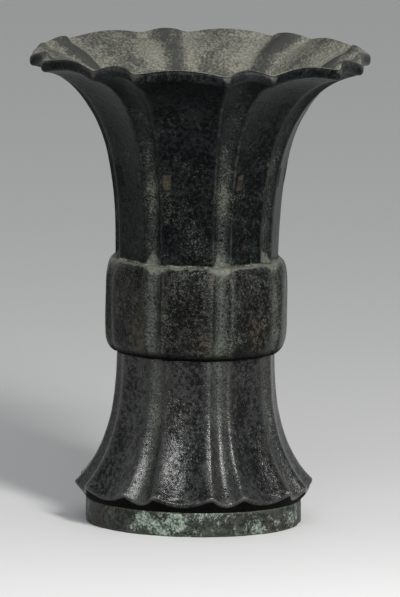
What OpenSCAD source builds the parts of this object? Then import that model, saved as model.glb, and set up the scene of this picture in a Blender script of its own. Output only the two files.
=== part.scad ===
// Foliate bronze beaker vase of gu form: a trumpet neck, a lobed middle band and a spreading
// foot are cast apart, socketed into one another on round spigots and sealed with soft solder.
// A plain ring carries the foot and a floor plate set in its rebate closes the vessel.
// All sizes are in millimetres, the axis is Z, and the ring stands on z = 0.

/* [Lobes] */
// Number of broad hollow flutes round the vessel, with one narrow flute between each pair
lobes = 8; // [6:1:10]
// Angle that one narrow flute takes at the rim and at the skirt, in degrees
narrow_angle = 16; // [10:1:20]
// Angle that it takes at the waist of the neck
waist_narrow_angle = 12.5; // [8:0.5:18]
// Angle that it takes round the band
band_narrow_angle = 13; // [8:0.5:18]
// Angle that it takes where the foot meets the band
foot_narrow_angle = 14.5; // [8:0.5:18]
// How far the hand-cut flutes wander round the waist of the neck, in degrees
waist_drift = 3.3; // [0:0.1:4]
// Degrees by which each narrow flute strays from even spacing at the rim, from the front right one round
rim_stray = [2.9, 3.5, 0.5, -2.8, -1.8, 1, 0.5, 0]; // [-4:0.1:4]
// Angle by which the flutes of the band are turned from those of the rim
band_turn = 2; // [-4:0.1:4]
// Angle by which the flutes of the foot are turned from those of the rim
foot_turn = 2.7; // [-4:0.1:4]
// Share of a flute's half width that is worn flat beside each raised arris
arris_wear = 0.07; // [0.02:0.01:0.12]

/* [Neck] */
// Height of the neck from its seat on the band to the highest point of the rim
neck_h = 88; // [70:1:110]
// Radius of the neck over the arrises at its waist
waist_r = 34.4; // [33.4:0.1:36]
// Radius of the mouth over the arrises
mouth_r = 71.9; // [55:0.5:88]
// How far the curve of the flare runs on beyond the mouth
flare_over = 1.7; // [1:0.1:4]
// How far below the neck's seat the curve of the flare begins
flare_lead = 22; // [10:1:30]
// Bluntness of the flare where it turns out under the lip
flare_turn = 1.84; // [1.6:0.02:2.4]
// Sharpness of the flare: a higher value keeps the neck straight for longer
flare_sharp = 3.72; // [3:0.02:4.4]
// Depth of the broad flutes at the waist of the neck
neck_broad_depth = 1.4; // [0.8:0.1:1.6]
// Depth of the narrow flutes at the waist of the neck
neck_narrow_depth = 1.7; // [0.8:0.1:1.8]
// Height above the neck's seat at which the flutes on the inside of the mouth have faded out
throat_h = 40; // [40:1:56]

/* [Rim] */
// Height of the rolled edge of the rim
lip_h = 5; // [4:0.1:7]
// How far the rolled edge is rounded outward
lip_round = 2.3; // [1.5:0.1:3]
// Depth of every flute where it reaches the rim
rim_depth = 3.7; // [2:0.1:5]
// Angle by which the flutes at the rim rise as well as draw in, in degrees
rim_lift = 34; // [10:1:50]

/* [Walls] */
// Thickness of the cast walls
wall = 3.2; // [2.4:0.1:4]

/* [Band] */
// Height of the middle band
band_h = 39.6; // [34:0.1:60]
// Radius of the middle band over the arrises
band_r = 38.6; // [37.6:0.1:48]
// How much wider the band is at mid height than at its shoulders
band_belly = 0.4; // [0:0.1:1.5]
// Height of the rounded shoulder under the neck, at the middle of a flute
high_shoulder_h = 7.5; // [3:0.1:10]
// Height of the rounded shoulder over the foot, at the middle of a flute
low_shoulder_h = 7.5; // [3:0.1:10]
// How much taller the shoulders are at the arrises, which rounds the corners of each panel
corner_rounding = 1.5; // [1:0.05:1.6]
// How far the top of the band stands out round the neck
high_ledge = 0.4; // [0.2:0.1:2]
// How far the underside of the band stands out round the foot
low_ledge = 0.2; // [0.2:0.1:1.5]
// Depth of the broad flutes on the band
band_broad_depth = 1; // [0:0.1:1.6]
// Depth of the narrow flutes on the band
band_narrow_depth = 2.4; // [0.5:0.1:2.6]

/* [Foot] */
// Height of the foot from the ring to the band
foot_h = 62.2; // [50:0.1:80]
// Radius of the foot over the arrises where it meets the band
foot_top_r = 33.4; // [33.2:0.1:35]
// Radius of the skirt over the arrises
skirt_r = 50.4; // [47:0.1:60]
// Height of the skirt's edge above the ring
skirt_rise = 6.7; // [4:0.1:10]
// Bluntness of the curve that spreads into the skirt
spread_turn = 1.36; // [1.2:0.02:1.8]
// Sharpness of that curve: a higher value keeps the foot straight for longer
spread_sharp = 3.1; // [2.4:0.1:4]
// Depth of the broad flutes where the foot meets the band
foot_broad_depth = 1.2; // [0.8:0.1:1.4]
// Depth of the narrow flutes where the foot meets the band
foot_narrow_depth = 1.5; // [0.8:0.1:1.6]
// Depth of every flute at the edge of the skirt
skirt_depth = 3.8; // [2:0.1:5]
// Radius of the worn edge of the skirt
skirt_edge = 1; // [0.4:0.1:1.5]

/* [Foot ring] */
// Height of the plain ring that the vessel stands on
ring_h = 10.3; // [8:0.1:16]
// Outside radius of the ring
ring_r = 45.2; // [36:0.1:48]
// Thickness of the ring at its standing face
ring_wall = 5.6; // [4.8:0.1:7]
// Width of the rebate inside the top of the ring that takes the floor plate
rebate_w = 2.8; // [2:0.1:3.2]
// Small bevel round the edges of the ring
ring_bevel = 0.5; // [0.2:0.1:1]

/* [Floor plate] */
// Thickness of the floor plate
plate_t = 2.8; // [2:0.1:4]

/* [Spigots and solder] */
// Outside radius of the round spigots of neck and foot
spigot_r = 30.8; // [24:0.1:31]
// Thickness of the spigots
spigot_wall = 2.4; // [1.8:0.1:3]
// Length of each spigot
spigot_l = 12; // [8:0.5:15]
// Gap round each spigot that the solder fills
solder_gap = 0.6; // [0.4:0.05:0.8]
// Size of the solder fillet under the floor plate
fillet = 2; // [1:0.1:3]
// Width of the solder strip let into the top of the ring
strip_w = 1.4; // [1:0.1:1.6]
// Depth of that strip
strip_t = 0.8; // [0.5:0.1:1]

/* [Chaplets] */
// Height of the middle of the chaplets above the neck's seat
chaplet_z = 36; // [12:0.2:36]
// Angle from the middle of a narrow flute to the chaplets beside it, in degrees
chaplet_angle = 11; // [8:0.5:14]
// Width of one chaplet
chaplet_w = 4; // [2:0.1:5]
// Height of one chaplet
chaplet_h = 8; // [4:0.1:10]

/* [Fits] */
// Clearance left between solid pieces that slide together and the solder between them
fit = 0.05; // [0.03:0.01:0.1]

/* [Hidden] */

// Heights at which the cast pieces meet
foot_z = ring_h;
band_z = foot_z + foot_h;
neck_z = band_z + band_h;
total_h = neck_z + neck_h;

// Angles of the lobed section: a broad flute faces the front, which is the side of negative Y
pitch = 360 / lobes;
front = -90;
broad_steps = 7;
narrow_steps = 5;

// The wander of the flutes is a wave that runs round the neck this many times, from this angle
drift_waves = 3;
drift_start = 104;

// Rim: the arrises dip below the flutes by the lift of the flutes
lip_top = total_h - rim_depth * sin(rim_lift);
lip_low = lip_top - lip_h;
lip_core_r = mouth_r - lip_round;
lip_steps = 5;
lip_square = 0.7;
flare_r = mouth_r + flare_over;
flare_z0 = neck_z - flare_lead;
flare_z1 = lip_low + 0.4;
flare_steps = 15;
inner_steps = 12;
throat_z = neck_z + throat_h;

// Spread of the foot, whose curve would reach its full radius a little below the skirt's edge
skirt_z = foot_z + skirt_rise;
spread_z0 = band_z + 8.4;
spread_z1 = skirt_z - 6.3;
spread_r = foot_top_r + (skirt_r - foot_top_r) * 1.6;
spread_steps = 12;
skirt_drop = atan2(skirt_rise, skirt_r - ring_r);

// Bores
spigot_bore_r = spigot_r - spigot_wall;
socket_r = spigot_r + solder_gap;
socket_l = spigot_l - 1;
belly_r = band_r - band_narrow_depth - wall;

// Shoulders of the band, and the share of its flutes' depth that is left at each end
high_inset = band_r - band_belly - waist_r - high_ledge;
low_inset = band_r - band_belly - foot_top_r - low_ledge;
high_end_depth = 0.3;
low_end_depth = 0.5;
hollow_low_r = ring_r - ring_wall + rebate_w - 0.8;

$fn = 96;

function mix(a, b, t) = a + (b - a) * t;
function ease(t) = t * t * (3 - 2 * t);

// Share of a flare's spread at the share u of its length
function flare_law(u, turn, sharp) = 1 - pow(1 - pow(u, sharp), 1 / turn);

// Form of a section: angle of a narrow flute, turn, wander, how far the arrises draw in, share of the rim's stray
function neck_form(share) =
    [mix(waist_narrow_angle, narrow_angle, share), 0, waist_drift * (1 - share), 0, share];
function band_form(corner) = [band_narrow_angle, band_turn, 0, corner, 0];
function foot_form(share) = [mix(foot_narrow_angle, narrow_angle, share), foot_turn, 0, 0, 0];

// Samples round the section as [lobe, is it broad, place across the flute from -1 to 1]
function flute(lobe, steps, broad) = [for (i = [0 : steps - 1]) [lobe, broad, 2 * i / (steps - 1) - 1]];
samples = [for (k = [0 : lobes - 1]) each concat(flute(k, broad_steps, true), flute(k, narrow_steps, false))];
count = len(samples);

// Stray of a lobe's narrow flute at the rim
function stray(lobe) = rim_stray[((lobe + lobes) % lobes) % len(rim_stray)];

// Angle of the middle of the narrow flute that follows a lobe, and of any sample
function narrow_middle(lobe, form) =
    front + (lobe + 0.5) * pitch + form[1] + form[2] * sin(drift_start + drift_waves * pitch * lobe)
    + form[4] * stray(lobe);
function sample_angle(s, form) =
    let (u = s[2] * (1 - arris_wear), half = form[0] / 2)
    let (before = narrow_middle(s[0] - 1, form) + half, after = narrow_middle(s[0], form) - half)
    s[1] ? mix(before, after, (u + 1) / 2) : after + (u + 1) * half;

// One ring of points for a station of [radius, height, broad depth, narrow depth, lift angle, form]
function ring_points(st) =
    [for (s = samples)
        let (d = (1 - s[2] * s[2]) * (s[1] ? st[2] : st[3]), angle = sample_angle(s, st[5]))
        let (r = st[0] - d * cos(st[4]) - st[5][3] * pow(s[2], 4))
        [r * cos(angle), r * sin(angle), st[1] + d * sin(st[4])]];

// Closed solid through a list of stations, with a flat cap on the first and on the last
module loft(stations) {
    n = len(stations);
    ends = [[0, 0, stations[0][1]], [0, 0, stations[n - 1][1]]];
    points = concat([for (st = stations) each ring_points(st)], ends);
    low = n * count;
    sides = [for (j = [0 : n - 2], i = [0 : count - 1])
        let (a = j * count + i, b = j * count + (i + 1) % count)
        each [[a, a + count, b], [b, a + count, b + count]]];
    low_cap = [for (i = [0 : count - 1]) [low, i, (i + 1) % count]];
    high_cap = [for (i = [0 : count - 1])
        [low + 1, (n - 1) * count + (i + 1) % count, (n - 1) * count + i]];
    polyhedron(points = points, faces = concat(sides, low_cap, high_cap), convexity = 8);
}

// Solid turned from a profile of [radius, height] points
module turned(profile) {
    rotate_extrude() polygon(profile);
}

// Outer curve of the neck, and how far the flare has opened there
function neck_share(z) = flare_law(max(0, (z - flare_z0) / (flare_z1 - flare_z0)), flare_turn, flare_sharp);
function neck_r(z) = mix(waist_r, flare_r, neck_share(z));
function neck_slope(z) = (neck_r(z + 0.01) - neck_r(z - 0.01)) / 0.02;

// Heights of the flare's stations, closer together towards the lip
flare_top = mix(flare_z0, flare_z1, 0.9915);
function flare_z(low, t) = mix(low, flare_top, 1 - pow(1 - t, 1.8));

function neck_station(z) =
    let (s = neck_share(z))
    [neck_r(z), z, mix(neck_broad_depth, rim_depth, s), mix(neck_narrow_depth, rim_depth, s), rim_lift * s,
     neck_form(s)];

// Rolled edge, from its underside out and over to its crest
lip = [for (i = [0 : lip_steps - 1])
    let (a = mix(-90, 90, i / (lip_steps - 1)))
    [lip_core_r + lip_round * pow(max(0, cos(a)), lip_square),
     lip_low + lip_h / 2 + lip_h / 2 * sign(a) * pow(abs(sin(a)), lip_square),
     rim_depth, rim_depth, rim_lift, neck_form(1)]];

// Inner face opposite the outer station at z, with its flutes fading to a round throat
function inner_station(z, fade) =
    let (s = neck_share(z), k = neck_slope(z), n = sqrt(1 + k * k))
    let (t = wall + (neck_narrow_depth + mix(0, lip_h - wall, s)) * (1 - fade))
    [neck_r(z) - t / n, z + t * k / n,
     fade * mix(neck_broad_depth, rim_depth, s), fade * mix(neck_narrow_depth, rim_depth, s),
     rim_lift * s, neck_form(s)];
function throat_r(z) = neck_r(z) - neck_narrow_depth - wall;

module neck_wall() {
    outer = [for (i = [0 : flare_steps]) neck_station(flare_z(neck_z, i / flare_steps))];
    inner = [for (i = [inner_steps : -1 : 1])
        let (t = i / inner_steps)
        inner_station(flare_z(throat_z, t), ease(t))];
    floor_st = [[throat_r(throat_z), throat_z, 0, 0, 0, neck_form(neck_share(throat_z))]];
    difference() {
        union() {
            loft(concat(outer, lip, inner, floor_st));
            translate([0, 0, neck_z - spigot_l]) cylinder(r = spigot_r, h = spigot_l + 1);
        }
        neck_bore();
    }
}

// Round bore through the spigot, opening to the throat
module neck_bore() {
    start = neck_z + 2;
    rise = 5;
    turned(concat(
        [[0, neck_z - spigot_l - 1], [spigot_bore_r, neck_z - spigot_l - 1], [spigot_bore_r, neck_z]],
        [for (i = [1 : rise]) let (z = mix(start, throat_z, i / rise)) [throat_r(z) - fit, z]],
        [[throat_r(throat_z) - fit, throat_z + 1], [0, throat_z + 1]]));
}

// Places for the chaplets: one on each side of every narrow flute
module chaplet_places(gap) {
    form = neck_form(neck_share(neck_z + chaplet_z));
    for (k = [0 : lobes - 1], side = [-1, 1])
        rotate(narrow_middle(k, form) + side * chaplet_angle)
            translate([spigot_bore_r, -chaplet_w / 2 - gap, neck_z + chaplet_z - chaplet_h / 2 - gap])
                cube([waist_r, chaplet_w + 2 * gap, chaplet_h + 2 * gap]);
}

// Trumpet neck with its foliate rim and round spigot
module neck() {
    color("#23261f")
        difference() {
            neck_wall();
            chaplet_places(fit);
        }
}

// Slice of the neck's wall that holds the chaplets
module chaplet_slice() {
    reach = chaplet_h / 2 + 1;
    difference() {
        loft([for (i = [-2 : 2]) neck_station(neck_z + chaplet_z + reach * i / 2)]);
        neck_bore();
    }
}

// Metal spacers that held the core while the neck was cast, filed flush with its faces
module neck_chaplets() {
    color("#4a3524")
        intersection() {
            chaplet_slice();
            chaplet_places(0);
        }
}

// How far a rounded shoulder draws in at a height from its end of the band
function shoulder(height, inset, reach) =
    inset * (1 - sqrt(1 - pow(1 - min(height, reach) / reach, 2)));
function high_draw(height, stretch) = shoulder(height, high_inset, high_shoulder_h * stretch);
function low_draw(height, stretch) = shoulder(height, low_inset, low_shoulder_h * stretch);

// Share of the flutes' depth that is left at a height from the end of the band
function end_fade(height, least) = mix(least, 1, ease(min(1, height / low_shoulder_h)));

// Station of the band at a height over its underside
function band_station(height) =
    let (left = band_h - height, v = height / band_h)
    let (draw = low_draw(height, 1) + high_draw(left, 1))
    let (corner = low_draw(height, corner_rounding) + high_draw(left, corner_rounding) - draw)
    let (fade = end_fade(height, low_end_depth) * end_fade(left, high_end_depth))
    [band_r - band_belly * pow(2 * v - 1, 2) - draw, band_z + height,
     band_broad_depth * fade, band_narrow_depth * fade, 0, band_form(corner)];

// Lobed middle band with a socket at each end and a wider belly between them
module middle_band() {
    shoulder_shares = [0, 0.08, 0.3, 0.7, 1.3];
    low = [for (t = shoulder_shares) band_station(t * low_shoulder_h)];
    high = [for (i = [4 : -1 : 0]) band_station(band_h - shoulder_shares[i] * high_shoulder_h)];
    color("#2b2c22")
        difference() {
            loft(concat(low, [band_station(band_h / 2)], high));
            turned([[0, band_z - 1], [socket_r, band_z - 1], [socket_r, band_z + socket_l],
                    [belly_r, band_z + spigot_l + 3], [belly_r, neck_z - spigot_l - 3],
                    [socket_r, neck_z - socket_l], [socket_r, neck_z + 1], [0, neck_z + 1]]);
        }
}

// Outer curve of the foot
function foot_share(z) =
    flare_law(max(0, (spread_z0 - z) / (spread_z0 - spread_z1)), spread_turn, spread_sharp);
function foot_r(z) = mix(foot_top_r, spread_r, foot_share(z));
function skirt_share(z) = min(1, (foot_r(z) - foot_top_r) / (skirt_r - foot_top_r));
function foot_station(z) =
    let (s = skirt_share(z))
    [foot_r(z), z, mix(foot_broad_depth, skirt_depth, s), mix(foot_narrow_depth, skirt_depth, s),
     -skirt_drop * s, foot_form(s)];

// Spreading foot with a scalloped skirt, a bevelled underside and a spigot for the band
module foot() {
    edge_z = skirt_z + skirt_edge;
    rim = foot_form(1);
    bevel = [[ring_r - fit, foot_z, 0, 0, 0, rim],
             [mix(ring_r, skirt_r, 0.4), mix(foot_z, skirt_z, 0.4), skirt_depth / 4, skirt_depth / 4,
              -skirt_drop, rim]];
    edge = [for (a = [-45, 0])
        [skirt_r - skirt_edge * (1 - cos(a)), skirt_z + skirt_edge * sin(a), skirt_depth, skirt_depth,
         -skirt_drop, rim]];
    side = [for (i = [0 : spread_steps])
        foot_station(mix(edge_z, band_z, pow(i / spread_steps, 1.5)))];
    color("#22251f")
        difference() {
            union() {
                loft(concat(bevel, edge, side));
                translate([0, 0, band_z - 1]) cylinder(r = spigot_r, h = spigot_l + 1);
            }
            foot_hollow();
        }
}

// Inside of the foot: parallel to its outer curve, drawn in over the floor plate
module foot_hollow() {
    rise = 8;
    low_z = skirt_z + wall;
    high_z = band_z - 2 * wall;
    turned(concat(
        [[0, foot_z - 1], [hollow_low_r, foot_z - 1], [hollow_low_r, foot_z + wall]],
        [for (i = [0 : rise]) let (z = mix(low_z, high_z, i / rise))
            [foot_r(z) - mix(foot_narrow_depth, skirt_depth, skirt_share(z)) - wall, z]],
        [[spigot_bore_r, high_z + wall], [spigot_bore_r, band_z + spigot_l + 1], [0, band_z + spigot_l + 1]]));
}

// Plain standing ring with a rebate for the floor plate and a groove for solder
module foot_ring() {
    inside = ring_r - ring_wall;
    rebate_r = inside + rebate_w;
    groove_r = mix(rebate_r, ring_r, 0.5);
    color("#4d5a4b")
        difference() {
            turned([[inside, ring_bevel], [inside + ring_bevel, 0], [ring_r - ring_bevel, 0],
                    [ring_r, ring_bevel], [ring_r, ring_h], [rebate_r, ring_h],
                    [rebate_r, ring_h - plate_t], [inside, ring_h - plate_t]]);
            solder_strip(groove_r, fit);
        }
}

// Flat strip of solder under the foot, widened by gap for the groove that holds it
module solder_strip(middle_r, gap) {
    a = middle_r - strip_w / 2 - gap;
    b = middle_r + strip_w / 2 + gap;
    top = ring_h + (gap > 0 ? 1 : 0);
    turned([[a, ring_h - strip_t], [b, ring_h - strip_t], [b, top], [a, top]]);
}

// Floor plate, held between the rebate of the ring and the underside of the foot
module base_plate() {
    color("#33362b")
        translate([0, 0, ring_h - plate_t])
            cylinder(r = ring_r - ring_wall + rebate_w - fit, h = plate_t);
}

// Sleeve of solder round a spigot, in the gap between it and its socket
module solder_sleeve(low_z) {
    turned([[spigot_r + fit, low_z], [socket_r - fit, low_z],
            [socket_r - fit, low_z + socket_l], [spigot_r + fit, low_z + socket_l]]);
}

module upper_solder() {
    color("#8e9188") solder_sleeve(neck_z - socket_l);
}

module lower_solder() {
    color("#8e9188") solder_sleeve(band_z);
}

module ring_solder() {
    inside = ring_r - ring_wall;
    color("#8e9188") solder_strip(mix(inside + rebate_w, ring_r, 0.5), 0);
}

// Hollow fillet of solder in the corner under the floor plate
module base_solder() {
    r = ring_r - ring_wall - fit;
    z = ring_h - plate_t;
    color("#8e9188")
        turned(concat([[r, z], [r - fillet, z]],
            [for (i = [1 : 4]) let (a = 90 * i / 4) [r - fillet * (1 - sin(a)), z - fillet * (1 - cos(a))]]));
}

neck();
neck_chaplets();
middle_band();
foot();
foot_ring();
base_plate();
upper_solder();
lower_solder();
ring_solder();
base_solder();
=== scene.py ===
"""Looks of a foliate bronze gu vessel: cast surfaces, patina, dust, floor, lights and camera."""

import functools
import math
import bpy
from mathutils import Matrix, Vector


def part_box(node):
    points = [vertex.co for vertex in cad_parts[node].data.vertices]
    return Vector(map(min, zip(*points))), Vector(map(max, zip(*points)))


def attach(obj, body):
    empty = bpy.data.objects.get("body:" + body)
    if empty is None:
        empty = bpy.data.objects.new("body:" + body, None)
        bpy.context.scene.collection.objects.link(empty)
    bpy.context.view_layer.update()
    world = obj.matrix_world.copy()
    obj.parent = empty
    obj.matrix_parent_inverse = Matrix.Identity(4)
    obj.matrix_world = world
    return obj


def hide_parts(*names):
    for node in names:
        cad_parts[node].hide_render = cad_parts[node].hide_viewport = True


bl_info = {
    "name": "Foliate bronze gu vessel",
    "version": (1, 0, 0),
    "blender": (4, 5, 0),
    "location": "3D View > Sidebar > Vessel",
    "description": "Builds the weathered castings of a lobed bronze vase around its measured frame",
    "category": "Add Mesh",
}

from collections import namedtuple

import bpy
import numpy as np
from mathutils import Matrix, Vector

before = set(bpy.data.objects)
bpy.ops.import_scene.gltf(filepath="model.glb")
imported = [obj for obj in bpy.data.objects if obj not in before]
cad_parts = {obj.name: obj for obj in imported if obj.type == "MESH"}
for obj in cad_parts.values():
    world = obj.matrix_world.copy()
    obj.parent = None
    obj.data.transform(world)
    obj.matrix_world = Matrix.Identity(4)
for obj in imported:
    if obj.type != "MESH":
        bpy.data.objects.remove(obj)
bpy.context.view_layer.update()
neck_low, neck_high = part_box("neck")
band_low, band_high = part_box("middle_band")
ring_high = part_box("foot_ring")[1]
plate_low, plate_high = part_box("base_plate")
chaplet_low, chaplet_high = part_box("neck_chaplets")

MM = 0.001
BODY = "root"
FRONT = -math.pi / 2


def length_size(name, description, metres):
    """Property for a length."""
    return bpy.props.FloatProperty(name=name, description=description, default=metres, unit="LENGTH")


def angle_size(name, description, degrees):
    """Property for an angle, whose default is given in degrees."""
    return bpy.props.FloatProperty(
        name=name, description=description, default=math.radians(degrees), subtype="ANGLE"
    )


def colour(name, description, value):
    """Property for a colour."""
    return bpy.props.FloatVectorProperty(
        name=name, description=description, default=value, size=3, subtype="COLOR", min=0, max=1
    )


class VesselSizes(bpy.types.PropertyGroup):
    """Sizes of the castings; those that the frame holds take their defaults from it"""

    lobes: bpy.props.IntProperty(name="Lobes", description="Broad flutes round the vessel", default=8)
    narrow_angle: angle_size("Narrow flute", "Angle of one narrow flute at rim and skirt", 16)
    waist_narrow: angle_size("Narrow flute at the waist", "Angle of one narrow flute at the waist", 12.5)
    band_narrow: angle_size("Narrow flute of the band", "Angle of one narrow flute round the band", 13)
    foot_narrow: angle_size("Narrow flute of the foot", "Angle of one narrow flute under the band", 14.5)
    waist_drift: angle_size("Wander", "How far the flutes wander at the waist", 3.3)
    band_turn: angle_size("Band turn", "Turn of the band's flutes from the rim's", 2)
    foot_turn: angle_size("Foot turn", "Turn of the foot's flutes from the rim's", 2.7)
    mouth_r: length_size("Mouth radius", "Radius of the rim over the arrises", 71.9 * MM)
    waist_r: length_size("Waist radius", "Radius of the neck at its waist", 34.4 * MM)
    wall: length_size("Wall", "Thickness of the cast walls", 3.2 * MM)
    lip_h: length_size("Lip height", "Height of the rolled edge of the rim", 5 * MM)
    lip_round: length_size("Lip rounding", "How far the rim is rounded outward", 2.3 * MM)
    rim_depth: length_size("Rim flute depth", "Depth of the flutes at the rim", 3.7 * MM)
    rim_lift: angle_size("Rim lift", "Angle by which the flutes rise at the rim", 34)
    band_r: length_size("Band radius", "Radius of the band over the arrises", 38.6 * MM)
    foot_top_r: length_size("Foot top radius", "Radius of the foot under the band", 33.4 * MM)
    skirt_r: length_size("Skirt radius", "Radius of the skirt over the arrises", 50.4 * MM)
    skirt_rise: length_size("Skirt rise", "Height of the skirt's edge above the ring", 6.7 * MM)
    spigot_r: length_size("Spigot radius", "Outside radius of the spigots", 30.8 * MM)
    spigot_wall: length_size("Spigot wall", "Thickness of the spigots", 2.4 * MM)
    spigot_l: length_size("Spigot length", "Length of each spigot", band_high.z - neck_low.z)
    ring_r: length_size("Ring radius", "Outside radius of the foot ring", ring_high.x)
    ring_wall: length_size("Ring wall", "Thickness of the foot ring", 5.6 * MM)
    chaplet_angle: angle_size("Chaplet offset", "Angle from a narrow flute to its chaplets", 11)
    chaplet_w: length_size("Chaplet width", "Width of one chaplet", 4 * MM)
    wobble: length_size("Unevenness", "Height of the hand-finished unevenness", 0.2 * MM)


class VesselColours(bpy.types.PropertyGroup):
    """Colours of the bronze, its dust and its corrosion"""

    neck_dark: colour("Neck bronze", "Darkest patina of the neck", (0.0030, 0.0042, 0.0050))
    band_dark: colour("Band bronze", "Darkest patina of the band", (0.0045, 0.0050, 0.0042))
    foot_dark: colour("Foot bronze", "Darkest patina of the foot", (0.0050, 0.0053, 0.0053))
    brown: colour("Brown patina", "Warm brown where the patina is thin", (0.0330, 0.0250, 0.0165))
    tan: colour("Tan stain", "Dull tan of chaplets and stains", (0.0440, 0.0350, 0.0240))
    bloom: colour("Grey-green bloom", "Dry grey-green bloom in the flutes", (0.1150, 0.1260, 0.0940))
    flute: colour("Flute bloom", "Thin grey bloom over the narrow flutes", (0.0440, 0.0490, 0.0450))
    malachite: colour("Malachite", "Pale green corrosion", (0.3200, 0.3800, 0.3200))
    verdigris: colour("Dark verdigris", "Dark green film", (0.0260, 0.0420, 0.0320))
    worn: colour("Worn bronze", "Rubbed metal on the arrises", (0.2300, 0.2200, 0.1950))
    dust: colour("Mouth dust", "Pale dust inside the mouth", (0.1900, 0.1860, 0.1540))
    crest: colour("Rubbed crest", "Greyer crests inside the mouth", (0.0480, 0.0500, 0.0450))
    crust: colour("Seam crust", "Pale crust in the joint over the band", (0.1750, 0.1850, 0.1480))
    ring: colour("Ring bronze", "Grey metal of the foot ring", (0.0340, 0.0380, 0.0320))
    solder: colour("Solder", "Dull grey solder", (0.2300, 0.2300, 0.2150))
    floor: colour("Floor", "Pale floor", (0.7200, 0.7200, 0.7120))
    floor_shade: colour("Floor shade", "Second tone of the floor", (0.7000, 0.7000, 0.7000))
    # Near black of pits and dark mottle, also the colour of the painted shade under the skirt and the band
    near_black_and_shade: colour("Grime", "Near black of pits, soot and dark mottle", (0.0015, 0.0020, 0.0020))


def sizes():
    """Sizes of the vessel in this scene."""
    return bpy.context.scene.vessel_sizes


def colours():
    """Colours of the vessel in this scene."""
    return bpy.context.scene.vessel_colours


# Lobed section

# One ring of a casting: its radius over the arrises and its height, the depths of its broad and narrow
# flutes, how far they rise, the rounding of its arrises, the angle of a narrow flute, the turn and wander of
# the flutes, how far the arrises draw in, the share of the rim's stray, how freely the ring may waver, and
# how far it is rubbed, or, where that is negative, how much painted shade darkens it
Station = namedtuple(
    "Station", "radius height broad narrow lift edge slot turn drift corner stray keep rub",
    defaults=(0,) * 9 + (1, 0),
)
RIM_STRAY = np.radians((2.9, 3.5, 0.5, -2.8, -1.8, 1, 0.5, 0))
NECK_SEED = 3
# How plainly each chaplet shows, from the left one beside the front right narrow flute round the neck
CHAPLETS_SHOWN = (0.45, 0.95, 0.3, 0.35, 0.5, 0.2, 0.7, 0.4, 0.3, 0.6, 0.2, 0.5, 0.4, 0.3, 0.75, 0.95)
DRIFT_WAVES = 3
DRIFT_START = math.radians(104)
BROAD_STEPS, NARROW_STEPS = 30, 20


def across(steps):
    """Places across one flute from -1 to 1, closer together towards its arrises."""
    u = np.linspace(-1, 1, steps, endpoint=False)
    return 0.45 * u + 0.55 * np.sin(u * math.pi / 2)


def samples():
    """Lobe, kind of flute and place across it of every point of a section."""
    u = np.concatenate([across(BROAD_STEPS), across(NARROW_STEPS)])
    broad = np.arange(len(u)) < BROAD_STEPS
    lobes = sizes().lobes
    return np.repeat(np.arange(lobes), len(u)), np.tile(broad, lobes), np.tile(u, lobes)


def narrow_middle(lobe, st):
    """Angle of the middle of the narrow flute that follows a lobe, at each station."""
    lobes = sizes().lobes
    pitch = 2 * math.pi / lobes
    wave = np.sin(DRIFT_START + DRIFT_WAVES * pitch * lobe)
    stray = RIM_STRAY[np.mod(np.mod(lobe, lobes), len(RIM_STRAY))]
    return FRONT + (lobe + 0.5) * pitch + st["turn"] + st["drift"] * wave + st["stray"] * stray


def columns(stations):
    """Values of the stations, each as a column that spreads over the points of their sections."""
    table = np.asarray(stations, float)
    return {name: table[:, k : k + 1] for k, name in enumerate(Station._fields)}


def broad_edges(st, lobe):
    """Angles at which the broad flute of a lobe starts and ends at each station."""
    half = st["slot"] / 2
    return narrow_middle(lobe - 1, st) + half, narrow_middle(lobe, st) - half


def lobed_section(st, lobe, broad, u):
    """Points of every station with their angles, and how far each point lies from its arris."""
    before, after = broad_edges(st, lobe)
    angle = np.where(broad, before + (after - before) * (u + 1) / 2, after + (u + 1) * st["slot"] / 2)
    full = np.where(broad, st["broad"], st["narrow"])
    sharp = full * (1 - u * u)
    edge = st["edge"]
    deepest = np.sqrt(full * full + edge * edge) - edge
    depth = (np.sqrt(sharp * sharp + edge * edge) - edge) * full / np.maximum(deepest, 1e-9)
    radius = st["radius"] - depth * np.cos(st["lift"]) - st["corner"] * u ** 4
    height = st["height"] + depth * np.sin(st["lift"])
    points = np.stack([radius * np.cos(angle), radius * np.sin(angle), height + 0 * angle], axis=-1)
    gap = (1 - np.abs(u)) * np.where(broad, (after - before) / 2, st["slot"] / 2) * st["radius"]
    return points, angle, gap


# Unevenness of hand-finished castings

def lattice(ix, iy, iz, seed):
    """Repeatable values from 0 to 1 at whole-number places."""
    h = (ix * 374761393 + iy * 668265263 + iz * 2147483647 + seed * 1274126177) & 0x7FFFFFFF
    h = ((h ^ (h >> 13)) * 1103515245 + 12345) & 0x7FFFFFFF
    h = ((h ^ (h >> 16)) * 1181783497) & 0x7FFFFFFF
    return (h & 0xFFFFF) / float(0xFFFFF)


def soft_noise(points, size, seed):
    """Smooth noise from -1 to 1 whose lumps are about size across."""
    p = points / size + 512.37
    cell = np.floor(p).astype(np.int64)
    f = p - cell
    f = f * f * (3 - 2 * f)
    total = 0
    for corner in np.ndindex(2, 2, 2):
        weight = np.where(corner, f, 1 - f).prod(axis=-1)
        total = total + weight * lattice(*np.moveaxis(cell + corner, -1, 0), seed)
    return total * 2 - 1


def grid_normals(points):
    """Outward normals of a grid closed both ways."""
    along = np.roll(points, -1, 0) - np.roll(points, 1, 0)
    round_ = np.roll(points, -1, 1) - np.roll(points, 1, 1)
    n = np.cross(round_, along)
    return n / np.maximum(np.linalg.norm(n, axis=-1, keepdims=True), 1e-12)


def unevenness(points, seed):
    """Height of a casting's hand-finished unevenness: slow waves with finer ones over them."""
    waves = ((17 * MM, 1), (5 * MM, 0.4), (1.6 * MM, 0.16))
    height = sum(share * soft_noise(points, size, seed + k) for k, (size, share) in enumerate(waves))
    return height * sizes().wobble


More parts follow.
